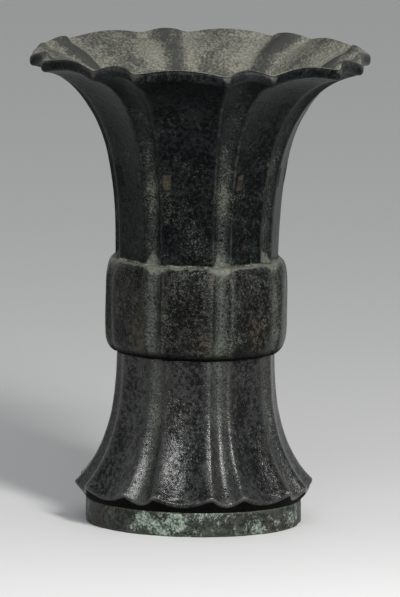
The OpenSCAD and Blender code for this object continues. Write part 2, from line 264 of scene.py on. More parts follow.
def weather(points, keep, nicks, seed):
    """Wavers a casting's surface and bites nicks from its edges. keep is 0 where it meets another piece."""
    dip = unevenness(points, seed)
    for centre, size, depth in nicks:
        near = np.linalg.norm((points - centre) / size, axis=-1)
        dip = dip + depth * np.exp(-near ** 2)
    return points - grid_normals(points) * (dip * keep[:, None])[..., None]


def edge_nicks(count, radius, height, spread, seed):
    """Small knocks along a round edge: where, how wide and how deep."""
    rng = np.random.default_rng(seed)
    found = []
    for _ in range(count):
        a = rng.uniform(0, 2 * math.pi)
        z = height + rng.uniform(-spread, spread)
        wide = rng.uniform(0.8, 2.4) * MM
        size = np.array([wide, wide, rng.uniform(0.6, 1.3) * MM])
        centre = np.array([radius * math.cos(a), radius * math.sin(a), z])
        found.append((centre, size, rng.uniform(0.15, 0.6) * MM))
    return found


# Meshes

SHARP_EDGE = math.radians(48)
# How much further the dust of a seam climbs in the middle of a narrow flute
FLUTE_CLIMB = 5


def make_object(name, vertices, faces, values):
    """Mesh object riding on the vessel, with one float attribute for each entry of values."""
    mesh = bpy.data.meshes.new(name)
    mesh.from_pydata(vertices.tolist(), [], faces.tolist())
    mesh.polygons.foreach_set("use_smooth", np.ones(len(mesh.polygons), bool))
    mesh.set_sharp_from_angle(angle=SHARP_EDGE)
    for key, value in values.items():
        layer = mesh.attributes.new(key, "FLOAT", "POINT")
        layer.data.foreach_set("value", np.ascontiguousarray(value, np.float32).ravel())
    mesh.validate()
    obj = bpy.data.objects.new(name, mesh)
    bpy.context.scene.collection.objects.link(obj)
    return obj


def closed_loft(name, points, values):
    """Closed skin over a grid of points that joins up both round the vessel and round the wall's section."""
    rows, wide = points.shape[:2]
    i, j = np.meshgrid(np.arange(rows), np.arange(wide), indexing="ij")
    i2, j2 = (i + 1) % rows, (j + 1) % wide
    faces = np.stack([i * wide + j, i * wide + j2, i2 * wide + j2, i2 * wide + j], axis=-1).reshape(-1, 4)
    return make_object(name, points.reshape(-1, 3), faces, values)


def block_faces(start, wide, tall):
    """Faces of a thin block. Its front grid of vertices begins at start and its back grid comes after it."""
    count = wide * tall
    faces = []
    for i in range(tall - 1):
        for j in range(wide - 1):
            q = start + i * wide + j
            r = q + count
            faces.append((q, q + 1, q + wide + 1, q + wide))
            faces.append((r, r + wide, r + wide + 1, r + 1))
    rim = list(range(wide))
    rim += [i * wide + wide - 1 for i in range(1, tall)]
    rim += [(tall - 1) * wide + j for j in range(wide - 2, -1, -1)]
    rim += [i * wide for i in range(tall - 2, 0, -1)]
    for a, b in zip(rim, rim[1:] + rim[:1]):
        faces.append((start + b, start + a, start + a + count, start + b + count))
    return faces


def stain_mask(angle, points, stains):
    """Soft blots over a casting.

    A stain is its angle in degrees, its height, half its width in degrees, half its height and its strength.
    """
    mask = np.zeros(angle.shape)
    for degrees, height, wide, tall, strength in stains:
        turn = (np.degrees(angle) - degrees + 180) % 360 - 180
        blot = np.exp(-((turn / wide) ** 2) - ((points[..., 2] / MM - height) / tall) ** 2)
        mask = np.maximum(mask, blot * strength)
    return mask


def casting(name, stations, nicks, seed, seams, inside_from=None, greens=(), browns=()):
    """Weathered casting from its stations, with the masks that its material needs.

    A seam is the height of a joint and how far its dust reaches. Stations from inside_from on face inward.
    """
    st = columns(stations)
    lobe, broad, u = (v[None, :] for v in samples())
    points, angle, gap = lobed_section(st, lobe, broad, u)
    shape = angle.shape
    share = 1 - u * u
    fluted = (st["narrow"] > 0) * np.ones(shape)
    hollow = np.where(broad, 0, share) * fluted
    seam = np.zeros(shape)
    for z, reach in seams:
        climb = reach * (1 + FLUTE_CLIMB * hollow)
        seam = np.maximum(seam, np.exp(-((points[..., 2] - z) / climb) ** 2))
    inside = np.zeros(shape)
    if inside_from is not None:
        inside[inside_from:] = 1
    arris = np.exp(-((gap / np.clip(st["edge"] * 2.2, 0.5 * MM, 2 * MM)) ** 2)) * fluted
    tips = np.where(fluted > 0, 0.35 + 0.65 * arris, 1)
    values = {
        "arris": arris,
        # Painted shade in the narrow flutes just inside their arrises
        "crease": np.where(broad, 0, np.exp(-(((gap - 0.7 * MM) / (0.8 * MM)) ** 2))) * fluted,
        "hollow": hollow,
        "broad": np.where(broad, share, 0) * fluted,
        "seam": seam,
        "inside": inside,
        # Rubbed wear where positive, painted shade where negative
        "rub": np.where(st["rub"] > 0, st["rub"] * tips, st["rub"]),
        "green": stain_mask(angle, points, greens),
        "brown": stain_mask(angle, points, browns),
    }
    low, high = points[..., 2].min(), points[..., 2].max()
    worn = weather(points, st["keep"][:, 0], nicks, seed)
    worn[..., 2] = np.clip(worn[..., 2], low, high)
    return closed_loft(name, worn, values)


def mix(a, b, t):
    """Value between two others."""
    return a + (b - a) * t


def ease(t):
    """Share that starts and ends gently."""
    return t * t * (3 - 2 * t)


def flare_law(u, turn, sharp):
    """Share of a flare's spread at the share u of its length."""
    return 1 - (1 - min(max(u, 0), 1) ** sharp) ** (1 / turn)


# Profiles

# How each flare bends outward: how sharply at its end, and how late it starts
NECK_FLARE = (1.84, 3.72)
FOOT_FLARE = (1.36, 3.1)
NECK_STEPS, LIP_STEPS, INNER_STEPS, THROAT_STEPS = 120, 30, 90, 31
BAND_STEPS, FOOT_STEPS, HOLLOW_STEPS = 76, 110, 30
# How many rings of the lip face inward, and at which ring of the throat its wall ends above the spigot's bore
LIP_INWARD, THROAT_END = 5, 6
SHOULDER_REACH = 7.5 * MM


class Profile:
    """Outer curves and heights of the castings, worked out from the sizes and the frame."""

    def __init__(self):
        s = sizes()
        self.s = s
        self.foot_z = ring_high.z
        self.band_z = band_low.z
        self.neck_z = band_high.z
        self.total_h = neck_high.z
        self.lip_top = self.total_h - s.rim_depth * math.sin(s.rim_lift) - 0.1 * MM
        self.lip_low = self.lip_top - s.lip_h
        self.flare_z0 = self.neck_z - 22 * MM
        self.flare_z1 = self.lip_low + 0.4 * MM
        self.flare_r = s.mouth_r + 1.7 * MM
        self.throat_z = self.neck_z + 40 * MM
        self.waist_depth = (1.4 * MM, 1.7 * MM)
        self.skirt_z = self.foot_z + s.skirt_rise
        self.spread_z0 = self.band_z + 8.4 * MM
        self.spread_z1 = self.skirt_z - 6.3 * MM
        self.spread_r = s.foot_top_r + (s.skirt_r - s.foot_top_r) * 1.6
        self.foot_depth = (1.2 * MM, 1.5 * MM)
        self.skirt_depth = 3.8 * MM
        self.skirt_drop = math.atan2(s.skirt_rise, s.skirt_r - s.ring_r)
        self.bore_r = s.spigot_r - s.spigot_wall
        self.socket_r = s.spigot_r + 0.6 * MM

    def neck_share(self, z):
        """How far the neck has spread at a height, from 0 at its waist to 1 at the rim."""
        return flare_law((z - self.flare_z0) / (self.flare_z1 - self.flare_z0), *NECK_FLARE)

    def neck_r(self, z):
        """Radius of the neck over the arrises at a height."""
        return mix(self.s.waist_r, self.flare_r, self.neck_share(z))

    def neck_form(self, share):
        """Lie of the neck's flutes where it has spread by a share."""
        s = self.s
        slot = mix(s.waist_narrow, s.narrow_angle, share)
        return {"slot": slot, "drift": s.waist_drift * (1 - share), "stray": share}

    def flare_z(self, low, t):
        """Height of a ring between low and the rim, closer together near the rim."""
        top = mix(self.flare_z0, self.flare_z1, 0.9915)
        return mix(low, top, 1 - (1 - t) ** 1.8)

    def neck_station(self, z, keep=1):
        """Ring of the neck's outer face."""
        s, share = self.s, self.neck_share(z)
        return Station(
            self.neck_r(z), z, mix(self.waist_depth[0], s.rim_depth, share),
            mix(self.waist_depth[1], s.rim_depth, share), s.rim_lift * share, mix(0.3, 0.7, share) * MM,
            **self.neck_form(share), keep=keep,
        )

    def lip(self, steps):
        """Rings of the rolled rim, from its underside over its edge."""
        s = self.s
        core = s.mouth_r - s.lip_round
        found = []
        for i in range(steps):
            t = i / (steps - 1)
            a = math.pi * (t - 0.5)
            out = s.lip_round * max(0, math.cos(a)) ** 0.7
            up = s.lip_h / 2 * math.copysign(abs(math.sin(a)) ** 0.7, a)
            found.append(Station(
                core + out, self.lip_low + s.lip_h / 2 + up, s.rim_depth, s.rim_depth, s.rim_lift,
                mix(0.7, 1.3, ease(t)) * MM, **self.neck_form(1), rub=max(0, 1 - abs(t - 0.68) / 0.34),
            ))
        return found

    def inner_station(self, z, fade):
        """Ring of the neck's inner face, whose flutes are as deep as fade says."""
        s, share = self.s, self.neck_share(z)
        slope = (self.neck_r(z + 0.01 * MM) - self.neck_r(z - 0.01 * MM)) / (0.02 * MM)
        n = math.hypot(1, slope)
        t = s.wall + (self.waist_depth[1] + (s.lip_h - s.wall) * share) * (1 - fade)
        return Station(
            self.neck_r(z) - t / n, z + t * slope / n, fade * mix(self.waist_depth[0], s.rim_depth, share),
            fade * mix(self.waist_depth[1], s.rim_depth, share), s.rim_lift * share, 1.6 * MM,
            **self.neck_form(share),
        )

    def foot_share(self, z):
        """How far the foot's curve has spread at a height."""
        return flare_law((self.spread_z0 - z) / (self.spread_z0 - self.spread_z1), *FOOT_FLARE)

    def foot_r(self, z):
        """Radius of the foot over the arrises at a height."""
        return mix(self.s.foot_top_r, self.spread_r, self.foot_share(z))

    def skirt_share(self, z):
        """How far the foot has spread towards its skirt at a height."""
        s = self.s
        return min(1, (self.foot_r(z) - s.foot_top_r) / (s.skirt_r - s.foot_top_r))

    def foot_form(self, share):
        """Lie of the foot's flutes where it has spread by a share."""
        return {"slot": mix(self.s.foot_narrow, self.s.narrow_angle, share), "turn": self.s.foot_turn}


def plain(radius, height, keep=0, **form):
    """Station of a round stretch with no flutes."""
    return Station(radius, height, keep=keep, **form)


def neck_stations(p):
    """Stations of the neck and the first of them that faces inward."""
    s = p.s
    outer = []
    for i in range(NECK_STEPS + 1):
        outer.append(p.neck_station(p.flare_z(p.neck_z, i / NECK_STEPS), 0 if i == 0 else 1))
    lip = p.lip(LIP_STEPS)
    inner = []
    for i in range(INNER_STEPS, -1, -1):
        t = i / INNER_STEPS
        inner.append(p.inner_station(p.flare_z(p.throat_z, t), ease(t)))
    form = p.neck_form(p.neck_share(p.throat_z))
    throat = []
    for i in range(THROAT_STEPS - 1, THROAT_END, -1):
        z = mix(p.neck_z, p.throat_z, i / THROAT_STEPS)
        throat.append(plain(p.neck_r(z) - p.waist_depth[1] - s.wall, z, 1, **form))
    low = p.neck_z - s.spigot_l
    corners = ((p.bore_r, p.neck_z), (p.bore_r, low), (s.spigot_r, low), (s.spigot_r, p.neck_z))
    tail = [plain(r, z, **form) for r, z in corners]
    return outer + lip + inner + throat + tail, len(outer) + len(lip) - LIP_INWARD


def shoulder(height, inset, reach):
    """How far a rounded shoulder draws in at a height from its end of the band."""
    return inset * (1 - math.sqrt(1 - (1 - min(height, reach) / reach) ** 2))


def band_station(p, height, keep=1):
    """Ring of the band at a height above its lower end."""
    s = p.s
    tall = p.neck_z - p.band_z
    left = tall - height
    low_inset = s.band_r - 0.6 * MM - s.foot_top_r
    high_inset = s.band_r - 0.8 * MM - s.waist_r
    draws = []
    for stretch in (1, 1.5):
        reach = SHOULDER_REACH * stretch
        draws.append(shoulder(height, low_inset, reach) + shoulder(left, high_inset, reach))
    low_fade = mix(0.5, 1, ease(min(1, height / SHOULDER_REACH)))
    high_fade = mix(0.3, 1, ease(min(1, left / SHOULDER_REACH)))
    fade = low_fade * high_fade
    belly = 0.4 * MM * (2 * height / tall - 1) ** 2
    # Positive near the top end, where the band is rubbed; negative near the lower end, which paints shade
    # under the band
    end_rub_and_shade = max(0, 1 - left / (3 * MM)) - max(0, 1 - height / (4 * MM))
    return Station(
        s.band_r - belly - draws[0], p.band_z + height, MM * fade, 2.4 * MM * fade, 0, 0.8 * MM,
        s.band_narrow, s.band_turn, 0, draws[1] - draws[0], 0, keep, end_rub_and_shade,
    )


def band_stations(p):
    """Rings of the band's outer face, then of its sockets and its hollow belly."""
    s = p.s
    tall = p.neck_z - p.band_z
    found = []
    for i in range(BAND_STEPS + 1):
        t = i / BAND_STEPS
        found.append(band_station(p, tall * mix(t, ease(t), 0.7), 0 if i in (0, BAND_STEPS) else 1))
    land = s.spigot_l - MM
    belly = s.band_r - 2.4 * MM - s.wall
    corners = (
        (p.socket_r, p.neck_z), (p.socket_r, p.neck_z - land), (belly, p.neck_z - s.spigot_l - 3 * MM),
        (belly, p.band_z + s.spigot_l + 3 * MM), (p.socket_r, p.band_z + land), (p.socket_r, p.band_z),
    )
    return found + [plain(r, z, slot=s.band_narrow, turn=s.band_turn) for r, z in corners]


def foot_stations(p):
    """Rings of the foot from its underside over the skirt to the spigot, then down inside."""
    s = p.s
    drop = -p.skirt_drop
    edge = MM
    rim = p.foot_form(1)
    # Negative rub here and on the underside rings below is painted shade under the skirt
    found = [plain(s.ring_r - 0.05 * MM, p.foot_z, **rim, rub=-1)]
    for i in range(1, 10):
        t = i / 10
        depth = p.skirt_depth * ease(t)
        radius = mix(s.ring_r, s.skirt_r - 0.3 * edge, t)
        height = mix(p.foot_z, p.skirt_z - 0.7 * edge, t)
        # Painted shade under the skirt, weaker on the ring next to its edge
        painted_shade = -1 if i < 9 else -0.4
        found.append(Station(radius, height, depth, depth, drop, 0.5 * MM, **rim, rub=painted_shade))
    for i in range(9):
        a = math.radians(mix(-45, 60, i / 8))
        radius = s.skirt_r - edge * (1 - math.cos(a))
        height = p.skirt_z + edge * math.sin(a)
        depth = p.skirt_depth
        found.append(Station(radius, height, depth, depth, drop, 0.9 * MM, **rim, rub=1 - abs(i - 4) / 5))
    start = p.skirt_z + edge
    for i in range(1, FOOT_STEPS + 1):
        z = mix(start, p.band_z, (i / FOOT_STEPS) ** 1.25)
        t = p.skirt_share(z)
        found.append(Station(p.foot_r(z), z, mix(p.foot_depth[0], p.skirt_depth, t),
                             mix(p.foot_depth[1], p.skirt_depth, t), drop * t, mix(2.4, 5.5, t) * MM,
                             **p.foot_form(t), keep=0 if i == FOOT_STEPS else 1))
    top = p.band_z + s.spigot_l
    form = p.foot_form(0)
    for radius, height in ((s.spigot_r, p.band_z), (s.spigot_r, top), (p.bore_r, top)):
        found.append(plain(radius, height, **form))
    low_z, high_z = p.skirt_z + s.wall, p.band_z - 2 * s.wall
    found.append(plain(p.bore_r, high_z + s.wall, 1, **form))
    for i in range(HOLLOW_STEPS, -1, -1):
        z = mix(low_z, high_z, i / HOLLOW_STEPS)
        t = p.skirt_share(z)
        inner = p.foot_r(z) - mix(p.foot_depth[1], p.skirt_depth, t) - s.wall
        found.append(plain(inner, z, 1, **p.foot_form(t)))
    low_r = plate_high.x - 0.6 * MM
    return found + [plain(low_r, p.foot_z + s.wall, **rim), plain(low_r, p.foot_z, **rim)]


def ring_stations(p):
    """Rings of the foot ring from its inner edge, under and up the outside, to the rebate."""
    s = p.s
    inside = s.ring_r - s.ring_wall
    rebate = plate_high.x + 0.05 * MM
    bevel = 0.5 * MM
    form = {"slot": s.narrow_angle}
    found = [plain(inside, bevel, **form), plain(inside + bevel, 0, **form)]
    found += [plain(mix(inside + bevel, s.ring_r - 2 * bevel, i / 6), 0, **form) for i in range(1, 6)]
    for i in range(7):
        a = math.pi / 2 * i / 6
        r = s.ring_r - 2 * bevel * (1 - math.sin(a))
        found.append(plain(r, 1.6 * bevel * (1 - math.cos(a)), min(1, i / 3), **form, rub=i / 6))
    found += [plain(s.ring_r, mix(1.6 * bevel, p.foot_z, i / 24), 1, **form, rub=1 if i == 23 else 0)
              for i in range(1, 24)]
    corners = (
        (s.ring_r - 0.2 * MM, p.foot_z), (rebate, p.foot_z), (rebate, plate_low.z), (inside, plate_low.z),
        (inside, mix(plate_low.z, bevel, 0.5)),
    )
    return found + [plain(r, z, **form) for r, z in corners]


# Shader nodes

# Noise scales per metre: the sand of the casting, and specks of dust and corrosion
GRAIN_SCALE = 1500
SPECK_SCALE = 900


class Net:
    """Short way to place and join shader nodes in one tree."""

    def __init__(self, tree):
        self.tree = tree

    def add(self, kind, **settings):
        """New node of a kind, with its settings."""
        node = self.tree.nodes.new(kind)
        for key, value in settings.items():
            setattr(node, key, value)
        return node

    def put(self, socket, value):
        """Joins an input to another node's output, or gives it a plain number or colour."""
        if isinstance(value, bpy.types.NodeSocket):
            self.tree.links.new(value, socket)
        elif hasattr(socket.default_value, "__len__") and len(socket.default_value) == 4:
            socket.default_value = (*value, 1)[:4]
        else:
            socket.default_value = value

    def math(self, operation, a, b, clamp=False):
        """Result of a calculation on two values, held between 0 and 1 where clamp is set."""
        node = self.add("ShaderNodeMath", operation=operation, use_clamp=clamp)
        self.put(node.inputs[0], a)
        self.put(node.inputs[1], b)
        return node.outputs[0]

    def plus(self, a, b):
        """Sum of two values."""
        return self.math("ADD", a, b)

    def minus(self, a, b, clamp=False):
        """Difference of two values."""
        return self.math("SUBTRACT", a, b, clamp)

    def times(self, a, b, clamp=False):
        """Product of two values."""
        return self.math("MULTIPLY", a, b, clamp)

    def most(self, first, *others):
        """Greatest of several values."""
        for other in others:
            first = self.math("MAXIMUM", first, other)
        return first

    def total(self, start, *weighted):
        """A value with others added to it, each by its weight."""
        for value, weight in weighted:
            start = self.plus(start, self.times(value, weight))
        return start

    def centred(self, value):
        """Noise moved so that its middle is 0."""
        return self.minus(value, 0.5)

    def step(self, value, low, high, out_low=0.0, out_high=1.0):
        """Smooth step from one value to another between low and high."""
        node = self.add("ShaderNodeMapRange", interpolation_type="SMOOTHSTEP")
        for socket, given in zip(node.inputs, (value, low, high, out_low, out_high)):
            self.put(socket, given)
        return node.outputs[0]

    def mix(self, share, a, b):
        """Colour between two colours."""
        node = self.add("ShaderNodeMix", data_type="RGBA")
        self.put(node.inputs[0], share)
        self.put(node.inputs[6], a)
        self.put(node.inputs[7], b)
        return node.outputs[2]

    def blend(self, share, a, b):
        """Number between two numbers."""
        node = self.add("ShaderNodeMix", data_type="FLOAT")
        self.put(node.inputs[0], share)
        self.put(node.inputs[2], a)
        self.put(node.inputs[3], b)
        return node.outputs[0]

    def layers(self, base, *layers):
        """Base colour with other colours laid over it in turn, each by its share."""
        for share, tint in layers:
            base = self.mix(share, base, tint)
        return base

    def attribute(self, name):
        """Mask that a casting's mesh carries."""
        return self.add("ShaderNodeAttribute", attribute_name=name).outputs["Fac"]

    def place(self):
        """Place on the object, in metres."""
        return self.add("ShaderNodeTexCoord").outputs["Object"]

    def height(self):
        """Height on the object, in metres."""
        split = self.add("ShaderNodeSeparateXYZ")
        self.put(split.inputs[0], self.place())
        return split.outputs["Z"]

    def noise(self, where, scale, detail, rough, twist=0.0):
        """Cloudy noise from 0 to 1."""
        node = self.add("ShaderNodeTexNoise")
        for key, value in (("Vector", where), ("Scale", scale), ("Detail", detail), ("Roughness", rough),
                           ("Distortion", twist)):
            self.put(node.inputs[key], value)
        return node.outputs["Fac"]

    def cells(self, where, scale):
        """Distance from the middle of the nearest cell."""
        node = self.add("ShaderNodeTexVoronoi")
        self.put(node.inputs["Vector"], where)
        self.put(node.inputs["Scale"], scale)
        return node.outputs["Distance"]

    def group(self, tree, **values):
        """Outputs of a node group placed here with its own values."""
        node = self.add("ShaderNodeGroup", node_tree=tree)
        for key, value in values.items():
            self.put(node.inputs[key], value)
        return node.outputs


def shared_group(name, inputs, outputs):
    """Turns a function that fills a node group into one that builds the group once and returns it."""

    def wrap(fill):
        @functools.wraps(fill)
        def build():
            tree = bpy.data.node_groups.get(name)
            if tree is None:
                tree = bpy.data.node_groups.new(name, "ShaderNodeTree")
                for way, keys in (("INPUT", inputs), ("OUTPUT", outputs)):
                    for key in keys:
                        tree.interface.new_socket(name=key, in_out=way, socket_type="NodeSocketFloat")
                net = Net(tree)
                fill(net, net.add("NodeGroupInput").outputs, net.add("NodeGroupOutput").inputs)
            return tree

        return build

    return wrap


@shared_group("Casting grain", ("Scale", "Pits"), ("Height", "Pit", "Sand", "Shade"))
def grain_group(net, given, out):
    """Fine sand-cast grain with scattered pits, lighter sand and dark mottle."""
    where = net.place()
    scale = given["Scale"]
    fine = net.noise(where, scale, 3, 0.6)
    coarse = net.noise(where, net.times(scale, 0.32), 4, 0.6)
    mottle = net.noise(where, net.times(scale, 0.36), 4, 0.7)
    patch = net.noise(where, net.times(scale, 0.06), 3, 0.6)
    cell = net.cells(where, net.times(scale, 0.42))
    pit = net.times(net.step(cell, 0.36, 0.14), net.step(patch, 0.46, 0.6))
    height = net.total(net.times(fine, 0.6), (coarse, 0.9))
    net.put(out["Height"], net.minus(height, net.times(pit, given["Pits"])))
    net.put(out["Pit"], pit)
    net.put(out["Sand"], net.step(net.blend(0.35, fine, coarse), 0.48, 0.64))
    net.put(out["Shade"], net.step(net.blend(0.3, mottle, patch), 0.44, 0.56))


@shared_group("Dry bloom", ("Cover", "Flute"), ("Mask", "Seam"))
def bloom_group(net, given, out):
    """Dry bloom: specks gathered in clouds, and dust in the seams. Cover, 0 to 1, is how much there is."""
    where = net.place()
    speck = net.blend(0.35, net.noise(where, 1400, 3, 0.6), net.minus(1, net.cells(where, 1300)))
    torn = net.centred(net.noise(where, 300, 5, 0.68))
    cloud = net.centred(net.noise(where, 80, 4, 0.62, 0.4))
    total = net.total(speck, (cloud, 0.8), (net.attribute("hollow"), given["Flute"]))
    low = net.minus(0.74, net.times(given["Cover"], 0.34))
    net.put(out["Mask"], net.step(total, low, net.plus(low, 0.24)))
    net.put(out["Seam"], net.step(net.total(net.attribute("seam"), (torn, 1.9)), 0.3, 0.9))


@shared_group("Flute bloom", ("Amount",), ("Mask",))
def flute_group(net, given, out):
    """Thin bloom over the whole of the narrow flutes, sandy and with torn edges."""
    where = net.place()
    sand = net.noise(where, 1300, 2, 0.5)
    torn = net.centred(net.noise(where, 240, 5, 0.66))
    cloud = net.centred(net.noise(where, 55, 3, 0.6))
    mask = net.step(net.total(net.attribute("hollow"), (torn, 0.9)), 0.05, 0.6)
    level = net.total(-0.95, (sand, 2.9), (cloud, 1.3))
    net.put(out["Mask"], net.times(net.times(mask, level, clamp=True), given["Amount"], clamp=True))


@shared_group("Patina patches", ("Scale", "Share", "Offset", "Stain"), ("Mask",))
def patch_group(net, given, out):
    """Irregular patches of another patina, thin brown or green. Share, 0 to 1, is how much there is."""
    shift = net.add("ShaderNodeVectorMath", operation="ADD")
    net.put(shift.inputs[0], net.place())
    net.put(shift.inputs[1], given["Offset"])
    where = shift.outputs[0]
    broad = net.noise(where, given["Scale"], 5, 0.62, 0.5)
    torn = net.centred(net.noise(where, net.times(given["Scale"], 9), 6, 0.72))
    total = net.total(broad, (torn, 0.8), (given["Stain"], 0.45))
    edge = net.minus(0.82, net.times(given["Share"], 0.5))
    net.put(out["Mask"], net.step(total, edge, net.plus(edge, 0.12)))


@shared_group("Arris wear", ("Amount", "Rub"), ("Mask",))
def wear_group(net, given, out):
    """Rubbed metal along the arrises and edges, broken up by the grain."""
    where = net.place()
    broken = net.centred(net.noise(where, 320, 5, 0.7))
    slow = net.centred(net.noise(where, 45, 3, 0.6))
    edge = net.most(net.times(net.attribute("arris"), 0.55), net.times(net.attribute("rub"), given["Rub"]))
    total = net.total(edge, (broken, 1.6), (slow, 1.4))
    net.put(out["Mask"], net.times(net.step(total, 0.3, 1.3), given["Amount"], clamp=True))


# Materials

def shaded(tint, share):
    """Colour made darker or lighter."""
    return tuple(v * share for v in tint)


def new_material(name, specular):
    """Material with one Principled shader, whose even values are set on its own sockets."""
    material = bpy.data.materials.new(name)
    material.use_nodes = True
    shader = material.node_tree.nodes["Principled BSDF"]
    shader.inputs["Specular IOR Level"].default_value = specular
    return material, Net(material.node_tree), shader


def add_grain(net, shader, pits, depth):
    """Bump from the casting grain; returns the masks of its pits, lighter sand and dark mottle."""
    grain = net.group(grain_group(), Scale=GRAIN_SCALE, Pits=pits)
    bump = net.add("ShaderNodeBump")
    bump.inputs["Distance"].default_value = depth
    net.put(bump.inputs["Height"], grain["Height"])
    net.put(shader.inputs["Normal"], bump.outputs["Normal"])
    return grain["Pit"], grain["Sand"], grain["Shade"]


# Patina of one casting: its darkest colour; shares of bloom, flute bloom, seam dust, brown, green and wear;
# roughness bare and under bloom; depth of the grain in millimetres; how much rubbed edges and the painted
# shade beside the narrow flutes' arrises show; strength of reflections; where its patches lie; shares of pale
# sand and dark mottle; and the height above which its bloom and sand change, with their share up there
Patina = namedtuple(
    "Patina",
    "dark cover flute seam brown green wear smooth dull grain rub crease specular offset sand shade thin top",
    defaults=(0.3, 0.4, 0.2, 0.0, 0.2, 0.5, 1.0, 1.0),
)
THIN_REACH = 50 * MM


def bronze(name, skin):
    """Dark waxed bronze with brown and green films, dry bloom, rubbed arrises and painted shade on undersides
    and creases.
    """
    c = colours()
    material, net, shader = new_material(name, skin.specular)
    pit, sand, mottle = add_grain(net, shader, 0.8, skin.grain * MM)
    arris, rub, hollow = (net.attribute(key) for key in ("arris", "rub", "hollow"))
    high = net.step(net.height(), skin.thin, skin.thin + THIN_REACH)
    upper_share = min(1, skin.top)
    stain = net.attribute("brown")
    brown = net.group(patch_group(), Scale=45, Share=skin.brown, Offset=skin.offset, Stain=stain)
    green = net.group(patch_group(), Scale=75, Share=skin.green, Offset=skin.offset + 3.7, Stain=0)
    flute = net.group(flute_group(), Amount=net.blend(high, skin.flute, skin.flute * skin.top))["Mask"]
    dry = net.group(bloom_group(), Cover=net.blend(high, skin.cover, skin.cover * upper_share), Flute=0.1)
    bloom = dry["Mask"]
    seam = net.times(dry["Seam"], skin.seam)
    wear = net.group(wear_group(), Amount=skin.wear, Rub=skin.rub)["Mask"]
    # Painted shade where rub is negative: under the skirt and at the band's lower end
    painted_shade = net.times(rub, -1.4, clamp=True)
    spared = net.most(flute, seam, hollow, net.times(arris, 0.7), net.times(rub, 0.8))
    mottle = net.times(mottle, net.minus(1, spared, clamp=True))
    rubbed = net.times(wear, net.minus(0.8, painted_shade, clamp=True))
    # Near-black marks: real pits and dark mottle, with the painted shade
    pits_mottle_and_shade = net.most(net.times(pit, 0.7), net.times(painted_shade, 0.9), net.times(mottle, skin.shade))
    pits_mottle_and_shade = net.times(pits_mottle_and_shade, net.minus(1, rubbed))
    tint = net.layers(
        skin.dark,
        (net.times(brown["Mask"], 0.8), c.brown),
        (net.times(green["Mask"], 0.6), c.verdigris),
        (flute, c.flute),
        (net.times(sand, net.blend(high, skin.sand, skin.sand * upper_share)), c.bloom),
        # Painted shade just inside the arrises of the narrow flutes
        (net.times(net.attribute("crease"), skin.crease), skin.dark),
        (net.times(bloom, 0.55), c.bloom),
        (seam, net.mix(sand, shaded(c.crust, 0.55), c.crust)),
        (net.times(wear, 0.5), c.worn),
        # Near black over pits, mottle and the painted shade
        (pits_mottle_and_shade, c.near_black_and_shade),
    )
    dryness = net.most(bloom, seam, net.times(flute, 0.5))
    rough = net.minus(net.blend(dryness, skin.smooth, skin.dull), net.times(wear, 0.1))
    rough = net.blend(painted_shade, rough, 0.95)
    # Pits, mottle and painted shade turn metallic with a near-black colour, so they reflect almost nothing
    metal = net.most(net.times(wear, 0.4), pits_mottle_and_shade)
    return material, net, shader, tint, rough, metal


def join_skin(net, shader, tint, rough, metal):
    """Joins what changes over the surface to the shader."""
    net.put(shader.inputs["Base Color"], tint)
    net.put(shader.inputs["Roughness"], rough)
    net.put(shader.inputs["Metallic"], metal)


def cast_material(name, skin):
    """Bronze with nothing laid over its patina."""
    material, *parts = bronze(name, skin)
    join_skin(*parts)
    return material


def neck_material():
    """Bronze outside, dusty and matt inside the mouth."""
    c = colours()
    skin = Patina(
        c.neck_dark, cover=0.55, flute=0.42, seam=0.8, brown=0.3, green=0.42, wear=0.36, rub=1.8, smooth=0.32,
        dull=0.65, specular=0.1, grain=0.3, sand=0.1, shade=0.7, thin=0.138, top=0.3,
    )
    material, net, shader, tint, rough, metal = bronze("neck_bronze", skin)
    where = net.place()
    inside = net.attribute("inside")
    speck = net.centred(net.noise(where, 1000, 4, 0.66))
    torn = net.centred(net.noise(where, 260, 5, 0.66))
    cloud = net.centred(net.noise(where, 60, 4, 0.6))
    crest = net.total(
        net.attribute("hollow"), (net.attribute("broad"), 0.62), (cloud, 1.7), (torn, 1.2), (speck, 1.7)
    )
    dust = net.mix(net.step(speck, -0.14, 0.1), shaded(c.dust, 1.2), shaded(c.dust, 0.72))
    dust = net.mix(net.step(crest, 0.05, 1.0), dust, c.crest)
    tint = net.mix(inside, tint, dust)
    rough = net.blend(inside, rough, 0.88)
    metal = net.times(metal, net.minus(1, inside))
    join_skin(net, shader, tint, rough, metal)
    return material


def band_material():
    """Browner and drier bronze, with strong painted shade just inside the arrises of its narrow flutes."""
    return cast_material("band_bronze", Patina(
        colours().band_dark, cover=0.6, flute=0.95, seam=0.9, brown=0.5, green=0.3, wear=0.6, rub=2.0,
        crease=0.95, smooth=0.24, dull=0.65, specular=0.22, grain=0.5, offset=1.9, sand=0.26, shade=0.75,
    ))


def foot_material():
    """Waxed bronze that shines along its soft arrises."""
    return cast_material("foot_bronze", Patina(
        colours().foot_dark, cover=0.46, flute=0.32, seam=0.2, brown=0.4, green=0.2, wear=0.6, rub=1.8,
        smooth=0.21, dull=0.55, specular=0.5, grain=0.26, offset=5.3, sand=0.17, shade=0.7, thin=0.035,
        top=3.2,
    ))


